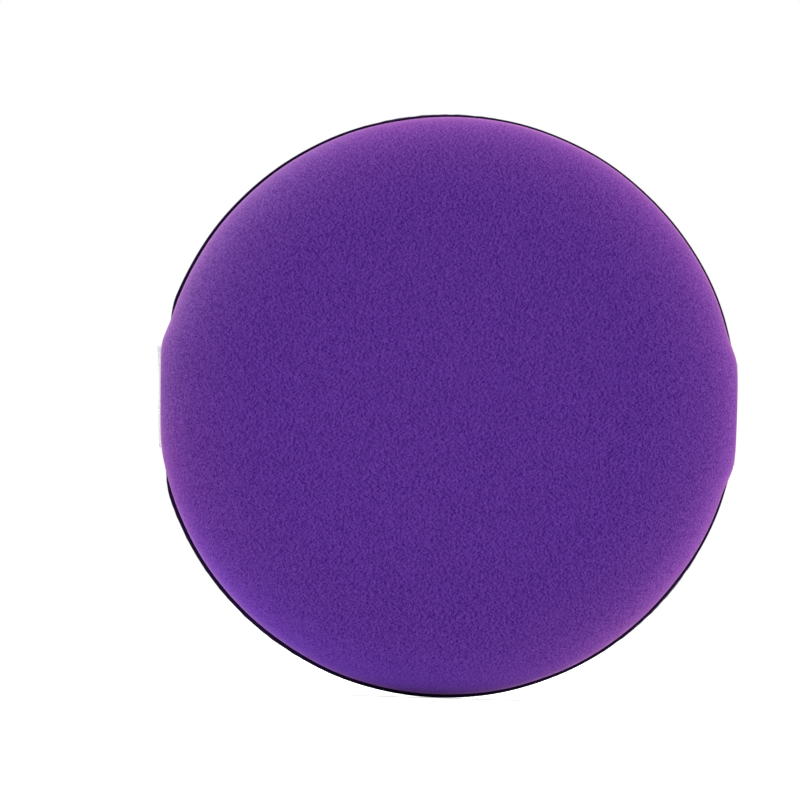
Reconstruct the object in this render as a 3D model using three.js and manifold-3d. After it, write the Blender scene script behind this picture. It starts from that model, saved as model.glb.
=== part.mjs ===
// A round powder puff for pressing on liquid or powder make-up.
// A purple microfoam face is welded at its rim to a white satin back, with springy foam between them.
// A white satin ribbon crosses the back and makes the loop that two fingers slip under.
// Millimetres, +Z up. The puff stands on its rim, its face looks along -Y and the ribbon runs along X.

import * as THREE from "three";
import { mergeVertices } from "three/addons/utils/BufferGeometryUtils.js";
import Module from "manifold-3d";

const wasm = await Module();
wasm.setup();

// Driving dimensions of the pad
const RIM_DIAMETER = 55; // over the welded rim
const RIM_PROUD = 0.2; // the rim stands out this far past the foam's side
const CORE_THICKNESS = 4.9;
const CORE_EDGE_WIDTH = 6.6; // the core's face starts to fall away this far in from its side
const CORE_EDGE_HEIGHT = 1.4; // and falls by this much
const SKIN_THICKNESS = 2;
const FILM_THICKNESS = 0.2;
const BACK_FOAM_THICKNESS = 1;
const SATIN_THICKNESS = 0.3;
const GLUE_LINE = 0.15; // adhesive between two layers
const SIDE_PINCH = 0.7; // how far the skin's side draws in towards the weld

// Driving dimensions of the welded rim
const WELD_WIDTH = 2.2;
const SEAM_GAP = 0.45; // between the skin's flange and the satin's
const SEAM_CLEARANCE = 0.1; // on each side of the weld bead
const SKIN_FLANGE_THICKNESS = 0.3; // the skin where the weld has crushed it
const BACK_SLOPE_WIDTH = 5.5; // the satin falls to the rim over this width
const BACK_FOAM_SKIVE = 0.62; // share of that slope which the thinned foam edge follows
const FOOT_DEPTH = 0.3; // the foam's side is pressed flat by this much where the puff stands

// Driving dimensions of the ribbon
const RIBBON_WIDTH = 10;
const RIBBON_THICKNESS = 0.25;
const FOLD_INSET = 0.3; // the fold stays this far inside the rim's circle
const FOLD_RADIUS = 0.55; // of the ribbon's middle, round the edge of the satin
const NOTCH_CLEARANCE = 0.3; // between the ribbon's edges and the cut rim
const NOTCH_MARGIN = 0.05; // the cut for the fold starts this far in front of the flange
const FINGER_GAP = 5; // between the satin and the ribbon
const BAND_LENGTH = 29; // the level middle of the ribbon
const BAND_LAP = 1.6; // each sloping part reaches under the band by this much
const LAP_CLEARANCE = 0.25;
const BEND_CLEARANCE = 0.3; // between the fold and the sloping part that swings from it

// Fineness of the solids
const ROUND_STEPS = 64;
const EDGE_STEPS = 6;
const SIDE_STEPS = 3;
const FOLD_STEPS = 8;

// Sizes that follow from the driving dimensions
const rimRadius = RIM_DIAMETER / 2;
const sideRadius = rimRadius - RIM_PROUD;
const filmOffset = GLUE_LINE; // each layer's outside lies this far out from the core
const filmOutside = filmOffset + FILM_THICKNESS;
const skinOffset = filmOutside + GLUE_LINE;
const skinOutside = skinOffset + SKIN_THICKNESS;
const coreRadius = sideRadius - skinOutside;
const faceFlatRadius = coreRadius - CORE_EDGE_WIDTH;
const sideLevel = -(CORE_THICKNESS - CORE_EDGE_HEIGHT); // where the side is widest
const faceReach = CORE_THICKNESS + skinOutside; // from the seam to the face
const weldInnerRadius = rimRadius - WELD_WIDTH;
const seamFront = -SEAM_GAP / 2;
const seamBack = SEAM_GAP / 2;
const flangeFront = seamFront - SKIN_FLANGE_THICKNESS;
const backFoamFront = GLUE_LINE;
const satinFront = backFoamFront + BACK_FOAM_THICKNESS + GLUE_LINE;
const satinReach = satinFront + SATIN_THICKNESS; // from the seam to the outside of the satin
const satinFlatRadius = weldInnerRadius - BACK_SLOPE_WIDTH;
const footLevel = -(sideRadius - FOOT_DEPTH); // below the puff's axis

// Sizes of the ribbon's loop, seen along Z
const bandFront = satinReach + FINGER_GAP;
const bandMiddle = bandFront + RIBBON_THICKNESS / 2;
const strapReach = bandFront + RIBBON_THICKNESS;
const foldCentre = new THREE.Vector2(
  rimRadius - FOLD_INSET - RIBBON_THICKNESS / 2 - FOLD_RADIUS,
  FOLD_RADIUS,
);
const rampTip = new THREE.Vector2(
  BAND_LENGTH / 2 - BAND_LAP,
  bandFront - LAP_CLEARANCE - RIBBON_THICKNESS / 2,
);
const notchX = foldCentre.x;
const notchFront = flangeFront - NOTCH_MARGIN;
const notchHalfWidth = RIBBON_WIDTH / 2 + NOTCH_CLEARANCE;

// The ribbon leaves its fold on the straight line that just touches the fold and ends at the tip.
const toTip = rampTip.clone().sub(foldCentre);
const tangentTurn = Math.acos(FOLD_RADIUS / toTip.length());
const foldEndAngle = toTip.angle() - tangentTurn;
const foldEnd = new THREE.Vector2(FOLD_RADIUS, 0)
  .rotateAround(new THREE.Vector2(), foldEndAngle)
  .add(foldCentre);
const rampDirection = rampTip.clone().sub(foldEnd).normalize();
const rampStart = rampDirection.clone().multiplyScalar(BEND_CLEARANCE).add(foldEnd);

// Materials
const paint = (color, roughness) =>
  new THREE.MeshStandardMaterial({ color, roughness, metalness: 0 });
const microfoam = paint(0x562e8a, 0.95);
const crushedFoam = paint(0x2a0f3f, 0.7);
const clearFilm = paint(0xdfe3e6, 0.35);
const sponge = paint(0xf1efe9, 0.95);
const satin = paint(0xefeeec, 0.45);
const ribbonSatin = paint(0xf4f4f6, 0.35);

const at = (x, y) => new THREE.Vector2(x, y);

// A closed mesh as a manifold solid, and back again
function solidOf(geometry) {
  const bare = geometry.clone();
  bare.deleteAttribute("normal");
  bare.deleteAttribute("uv");
  const merged = mergeVertices(bare, 1e-4);
  return new wasm.Manifold(
    new wasm.Mesh({
      numProp: 3,
      vertProperties: new Float32Array(merged.attributes.position.array),
      triVerts: new Uint32Array(merged.index.array),
    }),
  );
}

function geometryOf(solid) {
  const mesh = solid.getMesh();
  const geometry = new THREE.BufferGeometry();
  geometry.setAttribute("position", new THREE.BufferAttribute(mesh.vertProperties, 3));
  geometry.setIndex(new THREE.BufferAttribute(mesh.triVerts, 1));
  geometry.computeVertexNormals();
  return geometry;
}

// A body of revolution round the puff's axis. Its profile of radii and depths runs from the face to the
// back on the outside, and from the back to the face on the inside.
const turned = (profile) => new THREE.LatheGeometry(profile, ROUND_STEPS);

function box(low, high) {
  const size = high.clone().sub(low);
  const middle = low.clone().add(high).multiplyScalar(0.5);
  return solidOf(
    new THREE.BoxGeometry(size.x, size.y, size.z).translate(middle.x, middle.y, middle.z),
  );
}

// What lies below the flat that the puff stands on
const footCut = box(
  new THREE.Vector3(-rimRadius, -faceReach, -2 * rimRadius),
  new THREE.Vector3(rimRadius, strapReach, footLevel),
);

// The two gaps in the rim that the ribbon's folds sit in
const notchCuts = [-1, 1].map((side) =>
  box(
    new THREE.Vector3(Math.min(side * notchX, side * RIM_DIAMETER), notchFront, -notchHalfWidth),
    new THREE.Vector3(Math.max(side * notchX, side * RIM_DIAMETER), satinReach, notchHalfWidth),
  ),
);

const trimmed = (geometry) =>
  geometryOf(
    notchCuts.reduce((solid, cut) => solid.subtract(cut), solidOf(geometry).subtract(footCut)),
  );

// Half of the outline of a dome that lies a given distance outside the core, from the axis to where
// its side is widest
function domeOutline(outside) {
  const faceLevel = -(CORE_THICKNESS + outside);
  const side = coreRadius + outside;
  const width = CORE_EDGE_WIDTH + outside;
  const height = CORE_EDGE_HEIGHT + outside;
  const edge = new THREE.CubicBezierCurve(
    at(faceFlatRadius, faceLevel),
    at(faceFlatRadius + width * 0.72, faceLevel),
    at(side, sideLevel - height * 0.66),
    at(side, sideLevel),
  );
  return [at(0, faceLevel), ...edge.getPoints(EDGE_STEPS)];
}

// The satin's outside from its flat middle down to the rim, moved towards the face by a given depth
function backSlope(depth, share = 1) {
  const rimLevel = seamBack + SATIN_THICKNESS;
  const slope = new THREE.CubicBezierCurve(
    at(satinFlatRadius, satinReach - depth),
    at(satinFlatRadius + BACK_SLOPE_WIDTH * 0.42, satinReach - depth),
    at(weldInnerRadius - BACK_SLOPE_WIDTH * 0.34, rimLevel - depth),
    at(weldInnerRadius, rimLevel - depth),
  );
  const points = [];
  for (let i = 0; i <= EDGE_STEPS; i++) points.push(slope.getPoint((share * i) / EDGE_STEPS));
  return points;
}

// The purple face: a thick microfoam dome whose side draws in and is crushed to a thin flange at the weld
function faceSkin() {
  const drawnIn = new THREE.CubicBezierCurve(
    at(sideRadius, sideLevel),
    at(sideRadius, (sideLevel * 2 + flangeFront) / 3),
    at(sideRadius - SIDE_PINCH * 0.8, (sideLevel + flangeFront * 2) / 3),
    at(sideRadius - SIDE_PINCH, flangeFront),
  );
  return trimmed(
    turned([
      ...domeOutline(skinOutside),
      ...drawnIn.getPoints(SIDE_STEPS).slice(1),
      at(rimRadius, flangeFront),
      at(rimRadius, seamFront),
      at(coreRadius + skinOffset, seamFront),
      ...domeOutline(skinOffset).reverse(),
    ]),
  );
}

// A thin film under the face that keeps make-up out of the core
function barrierFilm() {
  return turned([
    ...domeOutline(filmOutside),
    at(coreRadius + filmOutside, seamFront),
    at(coreRadius + filmOffset, seamFront),
    ...domeOutline(filmOffset).reverse(),
  ]);
}

// The springy foam disc that gives the puff its loft
const foamCore = () => turned([...domeOutline(0), at(coreRadius, 0), at(0, 0)]);

// A thin foam sheet that pads the satin, skived to an edge before the weld
function backFoam() {
  const slope = backSlope(SATIN_THICKNESS + GLUE_LINE, BACK_FOAM_SKIVE);
  return turned([
    at(0, backFoamFront),
    at(slope.at(-1).x, backFoamFront),
    ...slope.reverse(),
    at(0, satinFront - GLUE_LINE),
  ]);
}

// The satin disc over the back, flat in its middle and drawn down to the rim
function satinBack() {
  return trimmed(
    turned([
      at(0, satinFront),
      ...backSlope(SATIN_THICKNESS),
      at(rimRadius, seamBack),
      at(rimRadius, seamBack + SATIN_THICKNESS),
      ...backSlope(0).reverse(),
      at(0, satinReach),
    ]),
  );
}

// The bead of melted foam that joins face and back, in two arcs between the ends of the ribbon
function rimWeld(half) {
  const front = seamFront + SEAM_CLEARANCE;
  const back = seamBack - SEAM_CLEARANCE;
  const ring = turned([
    at(weldInnerRadius, front),
    at(rimRadius, front),
    at(rimRadius, back),
    at(weldInnerRadius, back),
    at(weldInnerRadius, front),
  ]);
  const near = half * notchHalfWidth;
  const far = half * RIM_DIAMETER;
  const keep = box(
    new THREE.Vector3(-RIM_DIAMETER, front - SEAM_GAP, Math.min(near, far)),
    new THREE.Vector3(RIM_DIAMETER, back + SEAM_GAP, Math.max(near, far)),
  );
  return geometryOf(solidOf(ring).intersect(keep).subtract(footCut));
}

// A length of ribbon along a line seen from its edge, as wide as the ribbon and lying across Z
function ribbonAlong(line) {
  const half = RIBBON_THICKNESS / 2;
  const facing = line.map((point, i) => {
    const before = line[Math.max(i - 1, 0)];
    const after = line[Math.min(i + 1, line.length - 1)];
    const along = after.clone().sub(before).normalize();
    return at(-along.y, along.x);
  });
  const edge = (sign) =>
    line.map((point, i) => facing[i].clone().multiplyScalar(sign * half).add(point));
  const outline = new THREE.Shape([...edge(1), ...edge(-1).reverse()]);
  return new THREE.ExtrudeGeometry(outline, {
    depth: RIBBON_WIDTH,
    bevelEnabled: false,
  }).translate(0, 0, -RIBBON_WIDTH / 2);
}

const onSide = (side, points) => points.map((point) => at(side * point.x, point.y));

// One end of the ribbon: tucked into the weld, then folded round the edge of the satin
function strapTab(side) {
  const fold = [];
  for (let i = 0; i <= FOLD_STEPS; i++) {
    const angle = -Math.PI / 2 + ((foldEndAngle + Math.PI / 2) * i) / FOLD_STEPS;
    fold.push(at(FOLD_RADIUS, 0).rotateAround(at(0, 0), angle).add(foldCentre));
  }
  return ribbonAlong(onSide(side, [at(weldInnerRadius, 0), ...fold]));
}

// The ribbon's slope from the fold up to the band
const strapRamp = (side) => ribbonAlong(onSide(side, [rampStart, rampTip]));

// The level middle of the ribbon, which the fingers lift
const strapBand = () =>
  ribbonAlong([at(-BAND_LENGTH / 2, bandMiddle), at(BAND_LENGTH / 2, bandMiddle)]);

function mesh(name, geometry, material) {
  const made = new THREE.Mesh(geometry, material);
  made.name = name;
  return made;
}

const pad = new THREE.Group().add(
  mesh("face_skin", faceSkin(), microfoam),
  mesh("barrier_film", barrierFilm(), clearFilm),
  mesh("foam_core", foamCore(), sponge),
  mesh("back_foam", backFoam(), sponge),
  mesh("satin_back", satinBack(), satin),
  mesh("rim_weld_upper", rimWeld(1), crushedFoam),
  mesh("rim_weld_lower", rimWeld(-1), crushedFoam),
);

const strap = new THREE.Group().add(
  mesh("strap_left_tab", strapTab(-1), ribbonSatin),
  mesh("strap_right_tab", strapTab(1), ribbonSatin),
  mesh("strap_left_ramp", strapRamp(-1), ribbonSatin),
  mesh("strap_right_ramp", strapRamp(1), ribbonSatin),
  mesh("strap_band", strapBand(), ribbonSatin),
);

// The origin is under the middle of the standing puff, on the flat that it stands on.
const powderPuff = new THREE.Group().add(pad, strap);
powderPuff.position.set(0, (faceReach - strapReach) / 2, -footLevel);

const puffPart = new THREE.Group().add(powderPuff);
export default puffPart;
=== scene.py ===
# %% [markdown]
# A powder puff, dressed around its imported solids.
# The real puff is a soft laminate: a purple microfoam face, a film, a springy core and a thin foam sheet,
# closed at the back by white satin. Everything is welded together at the rim, where the two ends of a
# satin ribbon are caught in the weld. This lesson makes each layer as its own mesh, in metres, where the
# frame says it is.

# %% Load the frame
import math

import bmesh
import bpy
import numpy as np
from mathutils import Matrix, Vector
from mathutils.geometry import delaunay_2d_cdt


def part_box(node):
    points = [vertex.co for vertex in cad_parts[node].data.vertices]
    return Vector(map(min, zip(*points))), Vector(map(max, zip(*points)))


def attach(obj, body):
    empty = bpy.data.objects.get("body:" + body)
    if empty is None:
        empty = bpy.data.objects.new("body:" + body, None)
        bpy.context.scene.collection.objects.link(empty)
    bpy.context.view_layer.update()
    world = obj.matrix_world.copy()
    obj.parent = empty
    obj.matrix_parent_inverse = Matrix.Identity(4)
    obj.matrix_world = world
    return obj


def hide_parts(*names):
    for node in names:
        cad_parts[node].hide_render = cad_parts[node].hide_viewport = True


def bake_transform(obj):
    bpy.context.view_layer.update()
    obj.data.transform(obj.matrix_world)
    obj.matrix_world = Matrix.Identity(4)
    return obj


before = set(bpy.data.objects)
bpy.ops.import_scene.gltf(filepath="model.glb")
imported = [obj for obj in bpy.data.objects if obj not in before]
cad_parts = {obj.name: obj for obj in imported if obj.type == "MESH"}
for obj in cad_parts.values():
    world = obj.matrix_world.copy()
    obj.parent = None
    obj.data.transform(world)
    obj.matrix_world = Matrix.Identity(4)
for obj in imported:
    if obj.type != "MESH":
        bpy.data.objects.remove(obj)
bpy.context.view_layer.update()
print("solids:", sorted(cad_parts))

# %% [markdown]
# Sizes come from the frame's own boxes where they can, so that the looks follow the solids.
# The puff is a disc that stands on its rim. Its axis runs along Y, its face looks along -Y, and the
# ribbon runs along X. A place on it is a radius from the axis, an angle round it and a depth along Y.

# %% Sizes read from the frame
MM = 0.001

skin_low, skin_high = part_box("face_skin")
film_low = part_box("barrier_film")[0]
core_low, core_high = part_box("foam_core")
sheet_low, sheet_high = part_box("back_foam")
satin_low, satin_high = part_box("satin_back")
weld_low, weld_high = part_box("rim_weld_upper")
tab_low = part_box("strap_right_tab")[0]
ramp_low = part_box("strap_right_ramp")[0]
band_low, band_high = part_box("strap_band")

axis_height = (band_low.z + band_high.z) / 2
rim_radius = satin_high.z - axis_height
side_radius = skin_high.x
core_radius = core_high.x
ribbon_half_width = band_high.z - axis_height
weld_level = (weld_low.y + weld_high.y) / 2
weld_inner = tab_low.x
print(f"rim {rim_radius / MM:.2f} mm, side {side_radius / MM:.2f} mm, axis at {axis_height / MM:.2f} mm")

# %% [markdown]
# The camera comes first, because it fixes how the picture is framed.
# In the photograph the disc is a circle of known place and size in pixels. A long lens keeps it round, and
# the camera stands a little to the left of the axis and a little below it, which shows more of the dark
# rim on the left and at the bottom. It is rolled by a small angle too, because the two places where the
# ribbon pulls the edge straight aren't level in the picture: the right one is lower.

# %% Camera
PHOTO_SIDE_PX = 800
DISC_CENTRE_PX = (446.5, 405.7)
DISC_RADIUS_PX = 291.6
LENS_MM = 400
SENSOR_MM = 36
VIEW_AZIMUTH = math.radians(-0.9)
VIEW_ELEVATION = math.radians(-1.1)
VIEW_ROLL = math.radians(1.8)


def placed(name, data):
    """An object for some data, linked into the scene."""
    made = bpy.data.objects.new(name, data)
    bpy.context.scene.collection.objects.link(made)
    return made


disc_centre = Vector((0, weld_level, axis_height))
metres_per_px = rim_radius / DISC_RADIUS_PX
camera_distance = LENS_MM / SENSOR_MM * PHOTO_SIDE_PX * metres_per_px
towards_camera = Vector((
    math.sin(VIEW_AZIMUTH) * math.cos(VIEW_ELEVATION),
    -math.cos(VIEW_AZIMUTH) * math.cos(VIEW_ELEVATION),
    math.sin(VIEW_ELEVATION),
))
level_right = Vector((0, 0, 1)).cross(towards_camera).normalized()
level_up = towards_camera.cross(level_right)
camera_right = level_right * math.cos(VIEW_ROLL) + level_up * math.sin(VIEW_ROLL)
camera_up = towards_camera.cross(camera_right)
right_px, down_px = (place - PHOTO_SIDE_PX / 2 for place in DISC_CENTRE_PX)
aim = disc_centre - camera_right * right_px * metres_per_px + camera_up * down_px * metres_per_px

camera_data = bpy.data.cameras.new("camera")
camera_data.lens = LENS_MM
camera_data.sensor_width = SENSOR_MM
camera = placed("camera", camera_data)
camera.location = disc_centre + towards_camera * camera_distance
backwards = (camera.location - aim).normalized()
sideways = (camera_right - backwards * camera_right.dot(backwards)).normalized()
axes = Matrix((sideways, backwards.cross(sideways), backwards)).transposed()
camera.rotation_euler = axes.to_euler()
bpy.context.scene.camera = camera
print(f"camera {camera_distance:.3f} m away")

# %% [markdown]
# Colours are written as they look on a screen, from 0 to 255, and turned into the linear values that a
# shader works with. All but the shader's sheen tint come in pairs of tones, which a pattern mixes.

# %% Colours


def linear(red, green, blue):
    """A screen colour as the linear colour, with alpha, that a shader socket takes."""
    levels = [level / 255 for level in (red, green, blue)]
    return [v / 12.92 if v <= 0.04045 else ((v + 0.055) / 1.055) ** 2.4 for v in levels] + [1.0]


PURPLE = (linear(52, 10, 111), linear(105, 60, 157))
# The next three pairs are painted sheen for the roll: the lighter, redder purple that raking light gives it.
ROLL_PAINTED_SHEEN = (linear(114, 56, 138), linear(149, 86, 169))
LOW_PAINTED_SHEEN = (linear(97, 51, 163), linear(125, 76, 191))
PALE_PAINTED_SHEEN = (linear(112, 68, 139), linear(147, 101, 170))
MELTED = (linear(18, 5, 34), linear(36, 13, 60))
# The second tone of the satin and of the ribbon is painted shade, for the gaps between their floats.
SATIN = (linear(238, 237, 236), linear(226, 225, 224))
RIBBON = (linear(222, 221, 226), linear(183, 182, 190))
THREAD = (SATIN[0], RIBBON[0])
SPONGE = (linear(216, 211, 200), linear(240, 237, 229))
FILM = (linear(222, 226, 229), SPONGE[1])
PURPLE_SHEEN = linear(235, 170, 220)
print("darkest purple, linear:", [round(level, 3) for level in PURPLE[0][:3]])

# %% [markdown]
# Finishes and loops of thread are built from nodes. A few helpers keep that short: they fill a socket, add a
# node with its settings and inputs, and make a node group with named inputs.

# %% Helpers for nodes


def fill(socket, value):
    """Links a socket to another node's output, or sets a plain value on it."""
    if isinstance(value, bpy.types.NodeSocket):
        socket.id_data.links.new(value, socket)
    else:
        socket.default_value = value


def add_node(tree, kind, inputs=(), **settings):
    """A node with its settings, and its inputs filled by name or number."""
    node = tree.nodes.new(kind)
    for label, setting in settings.items():
        setattr(node, label, setting)
    for label, value in dict(inputs).items():
        fill(node.inputs[label], value)
    return node


def math_node(operation, *values, clamp=False):
    """The result of a Math node on numbers and other nodes' outputs, of which there is at least one."""
    tree = next(value for value in values if isinstance(value, bpy.types.NodeSocket)).id_data
    node = add_node(tree, "ShaderNodeMath", enumerate(values), operation=operation, use_clamp=clamp)
    return node.outputs[0]


def noise(place, scale, **inputs):
    """The outputs of a noise texture with so many waves to the metre."""
    inputs.update(Vector=place, Scale=scale)
    return add_node(place.id_data, "ShaderNodeTexNoise", inputs).outputs


def new_group(name, kind, inputs, outputs):
    """A node group, with the outputs of its input node and the inputs of its output node.
    Each socket is given as a label, a kind and, where it needs one, a value."""
    tree = bpy.data.node_groups.new(name, kind)
    for way, sockets in (("INPUT", inputs), ("OUTPUT", outputs)):
        for label, socket_kind, *value in sockets:
            socket = tree.interface.new_socket(label, in_out=way, socket_type="NodeSocket" + socket_kind)
            if value:
                socket.default_value = value[0]
    return tree, add_node(tree, "NodeGroupInput").outputs, add_node(tree, "NodeGroupOutput").inputs


# %% [markdown]
# Two effects serve more than one finish, so each is a node group with named inputs, built once.
# Foam flecks are the fine light and dark marks of an open, shaved foam. A picture of foam could be wrapped
# round the pad, but it would stretch on the roll and repeat. Noise fills space at any size and has no seam,
# so the flecks are strokes of noise, with a faint halo at their sides that keeps them crisp.

# %% Foam flecks
HALO_REACH = 0.22 * MM
HALO_SHARE = 0.13


def foam_fleck_group():
    """Flecks of an open foam: fine strokes, each with a faint halo, and the pores between them."""
    tree, given, made = new_group(
        "foam flecks",
        "ShaderNodeTree",
        [("Vector", "Vector"), ("Strokes per metre", "Float", 2600.0), ("Contrast", "Float", 1.0)],
        [("Fleck", "Float"), ("Pore", "Float")],
    )
    scale = given["Strokes per metre"]

    def strokes_at(offset):
        """The strokes, moved sideways by an offset."""
        moved = add_node(tree, "ShaderNodeVectorMath", {0: given["Vector"], 1: (offset, 0, 0)})
        strokes = noise(moved.outputs["Vector"], scale, Detail=1.5, Roughness=0.55, Distortion=1.2)
        return strokes["Fac"]

    beside = math_node("ADD", strokes_at(-HALO_REACH), strokes_at(HALO_REACH))
    crisp = math_node("MULTIPLY_ADD", beside, -HALO_SHARE, strokes_at(0))
    centred = math_node("SUBTRACT", crisp, 0.5 - HALO_SHARE)
    fill(made["Fleck"], math_node("MULTIPLY_ADD", centred, given["Contrast"], 0.5, clamp=True))
    pores = add_node(
        tree, "ShaderNodeTexVoronoi", {"Vector": given["Vector"], "Scale": scale}, feature="SMOOTH_F1",
    )
    fill(made["Pore"], pores.outputs["Distance"])
    return tree


foam_flecks = foam_fleck_group()
print("effect:", foam_flecks.name)

# %% [markdown]
# Woven floats are the short threads that lie on top of a satin weave, in staggered rows. They could be
# modelled one by one, but there would be thousands, most of them too fine to see. A little arithmetic does
# it instead: a map is cut into rows, each row into lengths, and every length becomes a low arch.

# %% Woven floats
WANDERS_PER_METRE = 420
WANDER_ALONG = 0.7
WANDER_ACROSS = 0.5
FLOAT_END_SLOPE = 4.0
FLOAT_END_HEIGHT = 0.3
PATCH_SLOPE = 4.5
PATCH_START = -1.75
SMOOTH_PATCH = 0.2


def woven_float_group():
    """Floats of a satin weave on a map in metres, row by row: their height, and the gaps, for painted shade.
    Each row starts a step further on than the last, which is what makes a satin's slanted lines.
    The weave shows in patches, and is smooth between them."""
    tree, given, made = new_group(
        "woven floats",
        "ShaderNodeTree",
        [
            ("Vector", "Vector"),
            ("Float length", "Float", 0.0009),
            ("Float width", "Float", 0.0003),
            ("Row step", "Float", 0.4),
            ("Patches per metre", "Float", 100.0),
        ],
        [("Height", "Float"), ("Gap", "Float")],
    )
    wander = noise(given["Vector"], WANDERS_PER_METRE, Detail=1.5)
    drift = add_node(tree, "ShaderNodeSeparateColor", {"Color": wander["Color"]}).outputs
    place = add_node(tree, "ShaderNodeSeparateXYZ", {"Vector": given["Vector"]}).outputs
    along = math_node("DIVIDE", place["X"], given["Float length"])
    along = math_node("MULTIPLY_ADD", drift[0], WANDER_ALONG, along)
    across = math_node("DIVIDE", place["Y"], given["Float width"])
    across = math_node("MULTIPLY_ADD", drift[1], WANDER_ACROSS, across)
    row = math_node("FLOOR", across)
    along = math_node("MULTIPLY_ADD", row, given["Row step"], along)
    along = math_node("FRACT", along)
    across = math_node("FRACT", across)
    centred = math_node("MULTIPLY_ADD", across, 2.0, -1.0)
    rounded = math_node("SUBTRACT", 1.0, math_node("MULTIPLY", centred, centred))
    nearest_end = math_node("MINIMUM", along, math_node("SUBTRACT", 1.0, along))
    ends = math_node("MULTIPLY", nearest_end, FLOAT_END_SLOPE, clamp=True)
    shown = math_node("MULTIPLY_ADD", ends, 1 - FLOAT_END_HEIGHT, FLOAT_END_HEIGHT)
    height = math_node("MULTIPLY", rounded, shown)
    patches = noise(given["Vector"], given["Patches per metre"], Detail=0.5)
    clear = math_node("MULTIPLY_ADD", patches["Fac"], PATCH_SLOPE, PATCH_START, clamp=True)
    clear = math_node("MULTIPLY_ADD", clear, 1 - SMOOTH_PATCH, SMOOTH_PATCH)
    height = math_node("MULTIPLY_ADD", math_node("SUBTRACT", height, 0.5), clear, 0.5)
    fill(made["Height"], height)
    fill(made["Gap"], math_node("SUBTRACT", 1.0, height))
    return tree


woven_floats = woven_float_group()
print("effect:", woven_floats.name)

# %% [markdown]
# A finish starts from one Principled shader with its constants. A pattern mixes two colours, and the same
# pattern, or another, gives the shader a little relief.

# %% Helpers for finishes
MIX_FIRST_COLOUR = 6
MIX_SECOND_COLOUR = 7
MIX_COLOUR = 2


def new_finish(name, **constants):
    """A material with one Principled shader, whose constant sockets are set by name."""
    material = bpy.data.materials.new(name)
    material.use_nodes = True
    shader = material.node_tree.nodes["Principled BSDF"]
    for label, value in constants.items():
        fill(shader.inputs[label.replace("_", " ")], value)
    return material, material.node_tree, shader


def effect(group, place, **values):
    """The outputs of a shared effect, placed in a material on a map, with its own values."""
    inputs = {label.replace("_", " "): value for label, value in values.items()}
    return add_node(place.id_data, "ShaderNodeGroup", {"Vector": place, **inputs}, node_tree=group).outputs


def object_place(tree):
    """Where a point is in the frame, in metres."""
    return add_node(tree, "ShaderNodeTexCoord").outputs["Object"]


def mapped(place, **changes):
    """Coordinates scaled or turned by a Mapping node."""
    return add_node(place.id_data, "ShaderNodeMapping", {"Vector": place, **changes}).outputs["Vector"]


def mixed(mask, first, second):
    """Colour between two others. Each may be a plain colour or another node's output."""
    inputs = {"Factor": mask, MIX_FIRST_COLOUR: first, MIX_SECOND_COLOUR: second}
    return add_node(mask.id_data, "ShaderNodeMix", inputs, data_type="RGBA").outputs[MIX_COLOUR]


def eased(value, low, high, to_low=0.0, to_high=1.0):
    """One number where a value is below low, another above high, and smooth between."""
    inputs = {"Value": value, "From Min": low, "From Max": high, "To Min": to_low, "To Max": to_high}
    step = add_node(value.id_data, "ShaderNodeMapRange", inputs, interpolation_type="SMOOTHSTEP")
    return step.outputs["Result"]


def dress(shader, colour, height, strength, depth):
    """Puts a colour on the shader, and a height as relief of a depth in metres."""
    fill(shader.inputs["Base Color"], colour)
    inputs = {"Strength": strength, "Distance": depth, "Height": height}
    bump = add_node(height.id_data, "ShaderNodeBump", inputs)
    fill(shader.inputs["Normal"], bump.outputs["Normal"])


# %% [markdown]
# Microfoam is a matt, very fine foam with a suede look. Its flecks are short upright strokes, a little
# lighter and darker than the ground. On the roll a painted sheen, standing in for the side lamps raking the
# fuzz, softens the flecks and turns the purple lighter and redder. Fuzz could be grown as hairs, but they
# would be far too fine to see one by one. A point attribute called side says how far the foam faces
# sideways, and so where the painted sheen goes. The painted sheen is bluer near the bottom, where less light
# falls, and paler at the upper left, where the left lamp is strongest. The same piece ends in the welded
# flange, where heat has crushed the foam dark. Painted shade deepens it to a dark line and darkens the side
# towards it. A second attribute says where.

# %% Microfoam finish
STROKES_PER_METRE = 10200
STROKE_SQUEEZE = 0.62
GRAINS_PER_METRE = 1800
# Where the painted sheen turns bluer, at the shaded bottom, and paler, at the lit upper left: a direction,
# and where the change starts and ends, in radii.
SHADED_BOTTOM = ((-0.37, 0.0, -0.93), 0.42, 1.0)
LIT_UPPER_LEFT = ((-0.87, 0.0, 0.50), 0.6, 0.95)


def across_disc(place, towards, low, high):
    """0 to 1 across the disc in a direction, from low to high in radii from the middle."""
    inputs = {0: place, 1: towards}
    reach = add_node(place.id_data, "ShaderNodeVectorMath", inputs, operation="DOT_PRODUCT")
    middle = axis_height * towards[2]
    return eased(reach.outputs["Value"], middle + low * rim_radius, middle + high * rim_radius)


def stored(tree, name):
    """A value that the mesh stores for each point."""
    return add_node(tree, "ShaderNodeAttribute", attribute_name=name).outputs["Fac"]


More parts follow.
